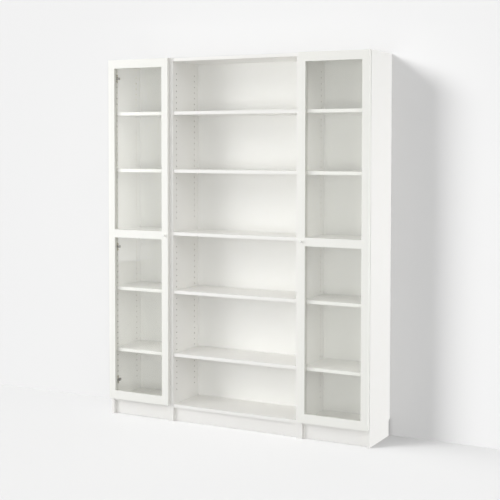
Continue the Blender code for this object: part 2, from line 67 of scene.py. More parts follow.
Shape = bmesh.types.BMesh
Outline = list[tuple[float, float]]
Box = tuple[Vector, Vector]
Settings = dict[str, object]
SMOOTH: Settings = {"interpolation_type": "SMOOTHSTEP"}

# The curve of an sRGB colour: straight up to its toe, and a power of the part after that
SRGB_TOE, SRGB_SLOPE, SRGB_OFFSET, SRGB_POWER = 0.04045, 12.92, 0.055, 2.4
# Points of a turned shape that are nearer than this are one
SAME_POINT = 1e-7


def linear_from_hex(code: str) -> tuple[float, float, float, float]:
    """Turns an sRGB hex colour to the linear colour that a shader takes.

    Args:
        code: the colour as "#RRGGBB".

    Returns:
        Red, green, blue and an alpha of 1, linear.
    """
    linear = []
    for part in (byte / 255 for byte in bytes.fromhex(code[1:])):
        curve = ((part + SRGB_OFFSET) / (1 + SRGB_OFFSET)) ** SRGB_POWER
        linear.append(curve if part > SRGB_TOE else part / SRGB_SLOPE)
    return (*linear, 1.0)


def emptied(owner: Material | bpy.types.World) -> NodeTree:
    """Gives a new material or world its node tree, with no node in it."""
    owner.use_nodes = True
    owner.node_tree.nodes.clear()
    return owner.node_tree


def feed(tree: NodeTree, node: Node, settings: Settings) -> None:
    """Gives a node its settings and links.

    Args:
        tree: its node tree.
        node: the node.
        settings: the value of each property, by its name, and then the value of each input, or
            the node or output that feeds it, by the input's identifier.
    """
    sockets = {socket.identifier: socket for socket in node.inputs}
    for name, value in settings.items():
        if isinstance(value, Node):
            value = next(output for output in value.outputs if output.enabled)
        if isinstance(value, NodeSocket):
            tree.links.new(value, sockets[name])
        elif name in sockets:
            sockets[name].default_value = value
        else:
            setattr(node, name, value)


def add_node(tree: NodeTree, kind: str, settings: Settings | None = None) -> Node:
    """Adds a node with its settings and links, by Blender's name of its kind after ShaderNode."""
    node = tree.nodes.new(f"ShaderNode{kind}")
    feed(tree, node, settings or {})
    return node


@dataclass(frozen=True)
class Finish:
    """A surface as it is made: its colour, its gloss and the fine pattern that it carries.

    A finish is plain until a subclass adds its pattern. Patterns are placed by the piece's own
    coordinates, which are metres, so a pattern of real size has a scale of one over that size.
    """

    name: str
    slot: str
    colour: str
    roughness: float
    ior: float = 1.5
    metallic: float = 0.0

    def material(self) -> Material:
        """The material, made the first time that it is asked for."""
        made = bpy.data.materials.get(self.name)
        if made is not None:
            return made
        made = bpy.data.materials.new(self.name)
        tree = emptied(made)
        colour = linear_from_hex(self.colour)
        look = {"Roughness": self.roughness, "IOR": self.ior, "Metallic": self.metallic}
        shader = add_node(tree, "BsdfPrincipled", {"Base Color": colour, **look})
        add_node(tree, "OutputMaterial", {"Surface": self.surface(tree, shader)})
        made.diffuse_color = colour
        return made

    def surface(self, tree: NodeTree, shader: Node) -> Node:
        """Adds the finish's own pattern.

        Args:
            tree: the material's node tree.
            shader: its Principled shader.

        Returns:
            The shader that the material shows.
        """
        return shader


@dataclass(frozen=True)
class PatternedFinish(Finish):
    """A finish with a soft mottle of colour and gloss, and a fine relief."""

    second_colour: str = "#FFFFFF"
    mottle_size: float = 0.050
    mottle_share: float = 0.5
    mottle_detail: float = 3.0
    mottle_rough_share: float = 0.6
    mottle_edges: tuple[float, float] = (0.35, 0.65)
    gloss_spread: float = 0.04
    gloss_edges: tuple[float, float] = (0.3, 0.7)
    grain_size: float = 0.002
    grain_stretch: tuple[float, float, float] = (1.0, 1.0, 1.0)
    relief: float = 0.00002

    def surface(self, tree: NodeTree, shader: Node) -> Node:
        """Adds the mottle and the relief, both worked out from their real sizes.

        Args:
            tree: the material's node tree.
            shader: its Principled shader.

        Returns:
            The same shader.
        """
        place = add_node(tree, "TexCoord").outputs["Object"]
        mottle = add_node(tree, "TexNoise", {
            "Vector": place, "Scale": 1 / self.mottle_size,
            "Detail": self.mottle_detail, "Roughness": self.mottle_rough_share,
        })
        share = add_node(tree, "MapRange", {
            "Value": mottle, "From Min": self.mottle_edges[0], "From Max": self.mottle_edges[1],
            "To Max": self.mottle_share,
        })
        colour = add_node(tree, "Mix", {
            "data_type": "RGBA", "Factor_Float": share,
            "A_Color": linear_from_hex(self.colour), "B_Color": linear_from_hex(self.second_colour),
        })
        scale = [stretch / self.grain_size for stretch in self.grain_stretch]
        stretched = add_node(tree, "Mapping", {"Vector": place, "Scale": scale})
        grain = add_node(tree, "TexNoise", {"Vector": stretched, "Scale": 1.0})
        gloss = add_node(tree, "MapRange", {
            "Value": grain, "From Min": self.gloss_edges[0], "From Max": self.gloss_edges[1],
            "To Min": self.roughness - self.gloss_spread, "To Max": self.roughness + self.gloss_spread,
        })
        bump = add_node(tree, "Bump", {"Height": grain, "Distance": self.relief})
        feed(tree, shader, {"Base Color": colour, "Roughness": gloss, "Normal": bump})
        return shader


@dataclass(frozen=True)
class ClearGlass(Finish):
    """Float glass, toughened after cutting: smooth on both faces, with a faint cast from its iron.

    Lamps shine through it unbent, so that the shelves behind it are lit as evenly as the real ones.
    """

    shade: str = "#FEFEFD"

    def surface(self, tree: NodeTree, shader: Node) -> Node:
        """Makes the shader clear, and lets light through it to what stands behind.

        Args:
            tree: the material's node tree.
            shader: its Principled shader.

        Returns:
            The shader that is clear to lamps.
        """
        feed(tree, shader, {"Transmission Weight": 1.0})
        passed = add_node(tree, "BsdfTransparent", {"Color": linear_from_hex(self.shade)})
        path = add_node(tree, "LightPath").outputs
        rays = {"Value": path["Is Shadow Ray"], "Value_001": path["Is Diffuse Ray"]}
        lets = add_node(tree, "Math", {"operation": "MAXIMUM", **rays})
        return add_node(tree, "MixShader", {"Fac": lets, "Shader": shader, "Shader_001": passed})


# Melamine-impregnated foil pressed on particleboard: smooth and satin, with a slight orange peel
MELAMINE_FOIL = PatternedFinish(
    "melamine_foil", "white_foil", "#FBFAF7", roughness=0.42, second_colour="#F9F8F4",
    mottle_size=0.090, grain_size=0.0015, relief=0.000012,
)
# Fibreboard frame sprayed with acrylic lacquer: a little glossier than the foil
ACRYLIC_LACQUER = PatternedFinish(
    "acrylic_lacquer", "door_lacquer", "#FAFAF5", roughness=0.36, second_colour="#F8F8F2",
    mottle_size=0.120, grain_size=0.0020, relief=0.000015,
)
# Hardboard printed matt white on the side that shows
PRINTED_HARDBOARD = PatternedFinish(
    "printed_hardboard", "white_back_board", "#FAFAF7", roughness=0.58, second_colour="#F8F8F4",
    mottle_size=0.070, grain_size=0.0012, relief=0.000020,
)
# The same hardboard left bare behind: pressed brown fibre, matt and speckled
BARE_HARDBOARD = PatternedFinish(
    "bare_hardboard", "white_back_board", "#A98A66", roughness=0.78, second_colour="#B99C78",
    mottle_size=0.004, mottle_share=1.0, grain_size=0.0012, relief=0.00008,
)
# Bare particleboard inside a drilled hole: coarse brown chips
BARE_CHIPBOARD = PatternedFinish(
    "bare_chipboard", "white_foil", "#7C6E5A", roughness=0.85, second_colour="#5F5445",
    mottle_size=0.003, mottle_share=1.0, grain_size=0.0010, relief=0.00015,
)
# Toughened float glass
TOUGHENED_GLASS = ClearGlass("toughened_glass", "tempered_glass", "#FCFDFB", roughness=0.0, ior=1.52)
# Extruded polypropylene glazing bead, soft satin
POLYPROPYLENE_BEAD = PatternedFinish(
    "polypropylene_bead", "white_bead", "#EFEEE9", roughness=0.48, ior=1.49, second_colour="#EBEAE4",
    mottle_size=0.030, grain_size=0.0008, relief=0.000010,
)
# Pressed steel, nickel plated: bright and faintly warm, with fine marks along its strip
NICKEL_PLATE = PatternedFinish(
    "nickel_plate", "nickelled_steel", "#D3CDC2", roughness=0.30, metallic=1.0, second_colour="#C2BBAF",
    mottle_size=0.006, gloss_spread=0.08, grain_size=0.0006, grain_stretch=(1.0, 0.15, 1.0),
    relief=0.000008,
)
# The hinge arm, deep drawn from the same strip and barrel plated: duller than the plate; its darker grey is
# painted shade for the gap under the arm
DRAWN_STEEL_PAINTED_SHADE = PatternedFinish(
    "drawn_steel_painted_shade", "nickelled_steel", "#7E7C78", roughness=0.38, metallic=1.0, second_colour="#6C6A66",
    mottle_size=0.005, gloss_spread=0.06, grain_size=0.0006, grain_stretch=(1.0, 0.2, 1.0),
    relief=0.000008,
)
# Turned metal knob, powder coated: a smooth skin with a slight orange peel
POWDER_COAT = PatternedFinish(
    "powder_coat", "white_enamel", "#FAFAF7", roughness=0.30, second_colour="#F6F6F2",
    mottle_size=0.008, grain_size=0.0009, relief=0.000020,
)
# Bent steel, bright zinc plated: cool grey with the large soft spangle of the bath
ZINC_PLATE = PatternedFinish(
    "zinc_plate", "zinc_plate", "#C3C6CA", roughness=0.36, metallic=1.0, second_colour="#A9ADB3",
    mottle_size=0.004, gloss_spread=0.10, grain_size=0.0010, relief=0.000010,
)


class Body(Enum):
    """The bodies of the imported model."""

    CASES = "cases"
    LEFT_DOOR = "left_door"
    RIGHT_DOOR = "right_door"


class Hand(Enum):
    """The side that a door hangs on, as the X direction from its hinges to its knob."""

    LEFT = 1
    RIGHT = -1


# Turns a shape drawn in X and Y, with its thickness along Z, so that it lies in Y and Z
DRAWN_IN_YZ = Matrix(((0, 0, 1, 0), (1, 0, 0, 0), (0, 1, 0, 0), (0, 0, 0, 1)))
# Lay a turned shape so that its Z axis points to the room, to the wall, and to each side
FACING_ROOM = Matrix.Rotation(math.pi / 2, 4, "X")
FACING_WALL = Matrix.Rotation(-math.pi / 2, 4, "X")
FACING_SIDE = {sign: Matrix.Rotation(sign * math.pi / 2, 4, "Y") for sign in (1, -1)}


def at(x: float, y: float, z: float) -> Matrix:
    """A move to a place."""
    return Matrix.Translation((x, y, z))


def quarter(steps: int, first: int = 0) -> Outline:
    """The points of a quarter of a circle, as sine and cosine.

    Args:
        steps: the number of straight pieces.
        first: the point to start from.

    Returns:
        The points, from a sine of zero up to one.
    """
    angles = [step / steps * math.pi / 2 for step in range(first, steps + 1)]
    return [(math.sin(angle), math.cos(angle)) for angle in angles]


def extruded(outline: Outline, thickness: float) -> Shape:
    """Gives a flat outline thickness.

    Args:
        outline: its corner points in X and Y.
        thickness: along Z, half on each side of zero.

    Returns:
        The closed shape.
    """
    mesh = bmesh.new()
    face = mesh.faces.new([mesh.verts.new((x, y, -thickness / 2)) for x, y in outline])
    grown = bmesh.ops.extrude_face_region(mesh, geom=[face])["geom"]
    raised = [part for part in grown if isinstance(part, bmesh.types.BMVert)]
    bmesh.ops.translate(mesh, vec=(0, 0, thickness), verts=raised)
    bmesh.ops.recalc_face_normals(mesh, faces=mesh.faces)
    return mesh


def block(low: Sequence[float], high: Sequence[float]) -> Shape:
    """Makes a box.

    Args:
        low: its lowest corner.
        high: its highest corner.

    Returns:
        The closed shape.
    """
    mesh = bmesh.new()
    size = [b - a for a, b in zip(low, high)]
    centre = [(a + b) / 2 for a, b in zip(low, high)]
    bmesh.ops.create_cube(mesh, size=1.0, matrix=at(*centre) @ Matrix.Diagonal((*size, 1.0)))
    return mesh


def turned(profile: Outline, steps: int) -> Shape:
    """Turns a profile about the Z axis.

    Args:
        profile: radius and height of its points, from one end on the axis to the other.
        steps: the number of sides.

    Returns:
        The closed shape.
    """
    mesh = bmesh.new()
    points = [mesh.verts.new((radius, 0, height)) for radius, height in profile]
    edges = [mesh.edges.new(pair) for pair in zip(points, points[1:])]
    turn = {"axis": (0, 0, 1), "angle": math.tau, "steps": steps, "use_merge": True}
    bmesh.ops.spin(mesh, geom=points + edges, **turn)
    bmesh.ops.remove_doubles(mesh, verts=mesh.verts, dist=SAME_POINT)
    bmesh.ops.recalc_face_normals(mesh, faces=mesh.faces)
    return mesh


def rod(radius: float, length: float, steps: int) -> Shape:
    """Makes a plain round rod along Z, centred on zero.

    Args:
        radius: its radius.
        length: its length.
        steps: the number of sides.

    Returns:
        The closed shape.
    """
    mesh = bmesh.new()
    size = {"radius1": radius, "radius2": radius, "depth": length}
    bmesh.ops.create_cone(mesh, cap_ends=True, segments=steps, **size)
    return mesh


def moved(mesh: Shape, matrix: Matrix) -> Shape:
    """Moves a shape, and keeps its faces pointing out where the move mirrors it.

    Args:
        mesh: the shape.
        matrix: the move.

    Returns:
        The same shape.
    """
    bmesh.ops.transform(mesh, matrix=matrix, verts=mesh.verts)
    bmesh.ops.recalc_face_normals(mesh, faces=mesh.faces)
    return mesh


def together(shapes: Sequence[Shape]) -> Shape:
    """Puts several shapes in one mesh, as separate bodies.

    Args:
        shapes: the shapes, which are freed.

    Returns:
        The one mesh.
    """
    whole = bmesh.new()
    for shape in shapes:
        data = bpy.data.meshes.new("part")
        shape.to_mesh(data)
        shape.free()
        whole.from_mesh(data)
        bpy.data.meshes.remove(data)
    return whole


def filleted(corners: Sequence[tuple[float, float, float]], steps: int = 6) -> Outline:
    """Rounds the corners of an outline.

    Args:
        corners: X, Y and the fillet radius of each corner, in order.
        steps: the number of straight pieces in each fillet.

    Returns:
        The points of the rounded outline.
    """
    points: Outline = []
    for index, (x, y, radius) in enumerate(corners):
        if radius == 0:
            points.append((x, y))
            continue
        corner = Vector((x, y))
        before = (Vector(corners[index - 1][:2]) - corner).normalized()
        after = (Vector(corners[(index + 1) % len(corners)][:2]) - corner).normalized()
        half = before.angle(after) / 2
        centre = corner + (before + after).normalized() * radius / math.sin(half)
        start = corner + before * radius / math.tan(half) - centre
        sweep = (corner + after * radius / math.tan(half) - centre).angle_signed(start)
        for step in range(steps + 1):
            spot = centre + Matrix.Rotation(sweep * step / steps, 2) @ start
            points.append((spot.x, spot.y))
    return points


def rounded_rectangle(x: float, y: float, radius: float) -> Outline:
    """A rectangle with round corners, centred on zero, from half its width and half its height."""
    return filleted([(x, -y, radius), (x, y, radius), (-x, y, radius), (-x, -y, radius)])


def new_object(name: str, shape: Shape, material: Material) -> Object:
    """Turns a shape to an object in the scene.

    Args:
        name: the object's name.
        shape: the shape, which is freed.
        material: its material.

    Returns:
        The object.
    """
    data = bpy.data.meshes.new(name)
    shape.to_mesh(data)
    shape.free()
    data.materials.append(material)
    obj = bpy.data.objects.new(name, data)
    bpy.context.scene.collection.objects.link(obj)
    return obj


def cut(obj: Object, cutters: Sequence[Shape], bare: Finish) -> None:
    """Cuts shapes from an object, and applies these cuts and the modifiers that it has.

    Args:
        obj: the object.
        cutters: what is cut from it.
        bare: the finish that the cuts lay bare.
    """
    if bare.name not in obj.data.materials:
        obj.data.materials.append(bare.material())
    tools = [new_object("cutter", cutter, bare.material()) for cutter in cutters]
    for tool in tools:
        boolean = obj.modifiers.new("cut", "BOOLEAN")
        boolean.operation = "DIFFERENCE"
        boolean.solver = "EXACT"
        boolean.material_mode = "TRANSFER"
        boolean.object = tool
    if obj.modifiers:
        graph = bpy.context.evaluated_depsgraph_get()
        made = bpy.data.meshes.new_from_object(obj.evaluated_get(graph))
        obj.modifiers.clear()
        obj.data = made
    for tool in tools:
        bpy.data.objects.remove(tool, do_unlink=True)


@dataclass(frozen=True)
class Maker:
    """Turns shapes to pieces of one body: rounds their edges, cuts, shades and sets them to ride."""

    body: Body
    arris_segments: int = 2
    arris_angle: float = 30.0
    smooth_angle: float = 35.0
    flat_weight: int = 100

    def piece(
        self, name: str, shape: Shape, finish: Finish, replaces: str | None = None,
        arris: float = 0.0, cutters: Sequence[Shape] = (), bare: Finish | None = None,
    ) -> Object:
        """Makes one piece.

        Args:
            name: the piece's name.
            shape: its shape, which is freed.
            finish: its finish.
            replaces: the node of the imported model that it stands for.
            arris: the radius that its sharp edges are rounded to, before it is cut.
            cutters: what is cut from it.
            bare: the finish that the cuts lay bare, if it isn't the piece's own.

        Returns:
            The piece, which rides on the maker's body.
        """
        obj = new_object(name, shape, finish.material())
        if arris > 0:
            bevel = obj.modifiers.new("arris", "BEVEL")
            bevel.width = arris
            bevel.segments = self.arris_segments
            bevel.limit_method = "ANGLE"
            bevel.angle_limit = math.radians(self.arris_angle)
        cut(obj, cutters, bare or finish)
        obj.data.shade_smooth()
        obj.data.set_sharp_from_angle(angle=math.radians(self.smooth_angle))
        weighted = obj.modifiers.new("flat_faces", "WEIGHTED_NORMAL")
        weighted.keep_sharp = True
        weighted.weight = self.flat_weight
        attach(obj, self.body.value)
        if replaces is not None:
            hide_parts(replaces)
        LOG.info("%s rides on %s", name, self.body.value)
        return obj


@dataclass(frozen=True)
class CrossHeadScrew:
    """A pan head screw with a cross recess, drawn with its head's underside at zero, facing +Z."""

    head_radius: float = 0.0032
    head_height: float = 0.0016
    rim_share: float = 0.45
    shank_radius: float = 0.0018
    shank_length: float = 0.008
    slot_width: float = 0.0009
    slot_reach: float = 0.0022
    slot_depth: float = 0.0010
    arms: int = 4
    steps: int = 20
    dome_steps: int = 4

    def shape(self) -> Shape:
        """The screw, with a domed head."""
        profile = [(0.0, self.head_height)]
        for sine, cosine in quarter(self.dome_steps, 1):
            height = self.head_height * (self.rim_share + (1 - self.rim_share) * cosine)
            profile.append((self.head_radius * sine, height))
        profile += [(self.head_radius, 0.0), (self.shank_radius, 0.0)]
        profile += [(self.shank_radius, -self.shank_length), (0.0, -self.shank_length)]
        return turned(profile, self.steps)

    def recess(self) -> Shape:
        """The cross that the driver fits in, as one outline."""
        half = self.slot_width / 2
        outline: Outline = []
        for arm in range(self.arms):
            turn = Matrix.Rotation(arm * math.tau / self.arms, 2)
            for corner in ((self.slot_reach, -half), (self.slot_reach, half), (half, half)):
                spot = turn @ Vector(corner)
                outline.append((spot.x, spot.y))
        return moved(extruded(outline, self.slot_depth * 2), at(0, 0, self.head_height))

    def make(self, maker: Maker, name: str, finish: Finish, matrix: Matrix) -> None:
        """Makes the screw at its place.

        Args:
            maker: what makes its piece.
            name: its name.
            finish: its finish.
            matrix: from the screw's own frame to the bookcase's.
        """
        cutters = [moved(self.recess(), matrix)]
        maker.piece(name, moved(self.shape(), matrix), finish, cutters=cutters)


@dataclass(frozen=True)
class PinHoles:
    """The two columns of holes for shelf pins, on the grid that furniture makers share.

    The drill tears the foil a little, so each hole has a mouth where the bare board shows.
    """

    radius: float = 0.0025
    depth: float = 0.0105
    mouth_radius: float = 0.0029
    mouth_depth: float = 0.0006
    pitch: float = 0.032
    first_row: float = 0.1735
    margin: float = 0.060
    columns: tuple[float, float] = (0.037, 0.2235)
    steps: int = 14
    overrun: float = 0.003

    def rows(self, spaces: Sequence[tuple[float, float]]) -> list[float]:
        """Heights of the holes in several spaces.

        Args:
            spaces: the floor and ceiling of each space, from the lowest up.

        Returns:
            The heights.
        """
        found = []
        for floor, ceiling in spaces:
            height = self.first_row
            while height < spaces[-1][1]:
                if floor + self.margin <= height <= ceiling - self.margin:
                    found.append(height)
                height += self.pitch
        return found

    def cutter(self, face: float, inward: int, front: float, rows: Sequence[float]) -> Shape:
        """What is drilled from a side.

        Args:
            face: X of the side's inner face.
            inward: the X direction from the side into the case.
            front: Y of the side's front edge.
            rows: the heights of the holes.

        Returns:
            All the drillings, as separate bodies.
        """
        spots = [at(face, front + column, row) for column in self.columns for row in rows]
        return together([moved(self.drilling(), spot @ FACING_SIDE[inward]) for spot in spots])

    def drilling(self) -> Shape:
        """One drilling down from zero, with its mouth and its overrun towards +Z."""
        profile = [(0.0, self.overrun), (self.mouth_radius, self.overrun), (self.mouth_radius, 0.0)]
        profile += [(self.radius, -self.mouth_depth), (self.radius, -self.depth), (0.0, -self.depth)]
        return turned(profile, self.steps)


@dataclass(frozen=True)
class ShelfPin:
    """A steel pin that a shelf rests on: a shank in the hole, a collar, and a seat in the shelf."""

    shank_radius: float = 0.0024
    shank_length: float = 0.0085
    collar_radius: float = 0.0034
    collar_length: float = 0.0006
    seat_radius: float = 0.0023
    seat_length: float = 0.0070
    arris: float = 0.0004
    steps: int = 18

    def shape(self) -> Shape:
        """The pin, with its seat towards +Z and its collar's back at zero."""
        seat, collar, shank, arris = self.seat_radius, self.collar_radius, self.shank_radius, self.arris
        profile = [(0.0, self.seat_length), (seat - arris, self.seat_length)]
        profile += [(seat, self.seat_length - arris), (seat, self.collar_length)]
        profile += [(collar, self.collar_length), (collar, 0.0), (shank, 0.0)]
        profile += [(shank, arris - self.shank_length), (shank - arris, -self.shank_length)]
        profile.append((0.0, -self.shank_length))
        return turned(profile, self.steps)


@dataclass(frozen=True)
class Case:
    """One case: two drilled sides, boards, plinth, back and the adjustable shelves on their pins."""

    name: str
    maker: Maker
    holes: PinHoles = PinHoles()
    pin: ShelfPin = ShelfPin()
    screw: CrossHeadScrew = CrossHeadScrew()
    shelves: int = 4
    board_arris: float = 0.0006
    back_arris: float = 0.0002
    notch_depth: float = 0.016
    notch_height: float = 0.080
    notch_slope: float = 0.010
    groove_depth: float = 0.006
    groove_play: float = 0.0003
    shelf_end_gap: float = 0.001
    pin_under: float = 0.0025
    pin_slot_play: float = 0.0006
    pin_slot_length: float = 0.0075
    bracket_bend: float = 0.0022
    bracket_arris: float = 0.0002
    bracket_hole_radius: float = 0.003
    bracket_sink_radius: float = 0.0034
    bracket_hole_edge: float = 0.012
    hole_steps: int = 20

    def box(self, part: str) -> Box:
        """The lowest and highest corners of one of the case's nodes."""
        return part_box(f"{self.name}_{part}")

    def front(self) -> float:
        """Y of the sides' front edges."""
        return self.box("side_left")[0].y

    def inner_faces(self) -> list[tuple[float, int]]:
        """X of the left and the right side's inner face, each with its direction into the case."""
        return [(self.box("side_left")[1].x, 1), (self.box("side_right")[0].x, -1)]

    def rows(self) -> list[float]:
        """Heights of all the pin holes, in the spaces under and over the fixed shelf."""
        bottom, middle, top = (self.box(part) for part in ("bottom", "fixed_shelf", "top"))
        return self.holes.rows([(bottom[1].z, middle[0].z), (middle[1].z, top[0].z)])

    def build(self) -> None:
        """Makes all the pieces of the case."""
        for part, (face, inward) in zip(("side_left", "side_right"), self.inner_faces()):
            self.make_side(part, face, inward)
        for part in ("top", "fixed_shelf", "bottom", "plinth"):
            node = f"{self.name}_{part}"
            self.maker.piece(f"{node}_board", block(*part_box(node)), MELAMINE_FOIL, node, self.board_arris)
        self.make_back()
        for number in range(self.shelves):
            self.make_shelf(f"shelf_{number + 1}")
        self.make_bracket()

    def make_side(self, part: str, face: float, inward: int) -> None:
        """Makes a side: a board with a skirting notch, drilled and grooved on its inner face.

        Args:
            part: its node, without the case's name.
            face: X of its inner face.
            inward: the X direction from it into the case.
        """
        low, high = self.box(part)
        notch, slope = high.y - self.notch_depth, self.notch_height + self.notch_slope
        outline = [(low.y, low.z), (notch, low.z), (notch, self.notch_height)]
        outline += [(high.y, slope), (high.y, high.z), (low.y, high.z)]
        middle = at((low.x + high.x) / 2, 0, 0)
        board = moved(extruded(outline, high.x - low.x), middle @ DRAWN_IN_YZ)
        drillings = self.holes.cutter(face, inward, low.y, self.rows())
        back_low, back_high = self.box("back")
        across = sorted((face - inward * self.groove_depth, face + inward * self.holes.overrun))
        groove = block(
            (across[0], back_low.y - self.groove_play, back_low.z - self.groove_play),
            (across[1], back_high.y + self.groove_play, high.z + self.holes.overrun),
        )
        node, cuts = f"{self.name}_{part}", ([drillings, groove], BARE_CHIPBOARD)
        self.maker.piece(f"{node}_panel", board, MELAMINE_FOIL, node, self.board_arris, *cuts)

    def make_back(self) -> None:
        """Makes the back: white to the room, and bare fibre to the wall."""
        node = f"{self.name}_back"
        sheet = block(*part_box(node))
        back = self.maker.piece(f"{node}_sheet", sheet, PRINTED_HARDBOARD, node, self.back_arris)
        back.data.materials.append(BARE_HARDBOARD.material())
        for face in back.data.polygons:
            face.material_index = int(face.normal.y > abs(face.normal.x) + abs(face.normal.z))

    def make_shelf(self, part: str) -> None:
        """Makes an adjustable shelf, slotted from below over its pins, and its four pins.

        Args:
            part: its node, without the case's name.
        """
        node = f"{self.name}_{part}"
        low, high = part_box(node)
        low.x, high.x = (face + inward * self.shelf_end_gap for face, inward in self.inner_faces())
        row = low.z + self.pin_under
        width, length = self.pin.collar_radius + self.pin_slot_play, self.pin_slot_length
        slots, pins = [], []
        for column in self.holes.columns:
            for (face, inward), end in zip(self.inner_faces(), (low.x, high.x)):
                y = self.front() + column
                corner = (end - length, y - width, low.z - length)
                slots.append(block(corner, (end + length, y + width, row + self.pin.seat_radius)))
                pins.append(moved(self.pin.shape(), at(face, y, row) @ FACING_SIDE[inward]))
        board, cuts = block(low, high), ([together(slots)], BARE_CHIPBOARD)
        self.maker.piece(f"{node}_board", board, MELAMINE_FOIL, node, self.board_arris, *cuts)
        for number, pin in enumerate(pins, 1):
            self.maker.piece(f"{node}_pin_{number}", pin, ZINC_PLATE)

    def make_bracket(self) -> None:
        """Makes the bent wall bracket and the screw that holds it to the top, flush with its face."""
        node = f"{self.name}_wall_bracket"
        low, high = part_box(node)
        seat = self.box("top")[1].z + self.groove_play
        thick, bend = high.z - seat, self.bracket_bend
        outline = filleted([
            (low.y, seat, 0.0),
            (high.y - thick, seat, bend - thick),
            (high.y - thick, low.z, 0.0),
            (high.y, low.z, 0.0),
            (high.y, high.z, bend),
            (low.y, high.z, 0.0),
        ])
        centre = (low.x + high.x) / 2
        strip = moved(extruded(outline, high.x - low.x), at(centre, 0, 0) @ DRAWN_IN_YZ)
        seat_hole = at(centre, low.y + self.bracket_hole_edge, seat)
        wall_hole = at(centre, high.y, low.z + self.bracket_hole_edge) @ FACING_ROOM
        holes = ((self.bracket_sink_radius, seat_hole), (self.bracket_hole_radius, wall_hole))
        reach = high.y - low.y
        drilled = together([moved(rod(radius, reach, self.hole_steps), spot) for radius, spot in holes])
        self.maker.piece(f"{node}_strip", strip, ZINC_PLATE, node, self.bracket_arris, [drilled])
        head = at(0, 0, thick - self.screw.head_height) @ seat_hole
        self.screw.make(self.maker, f"{node}_screw", ZINC_PLATE, head)


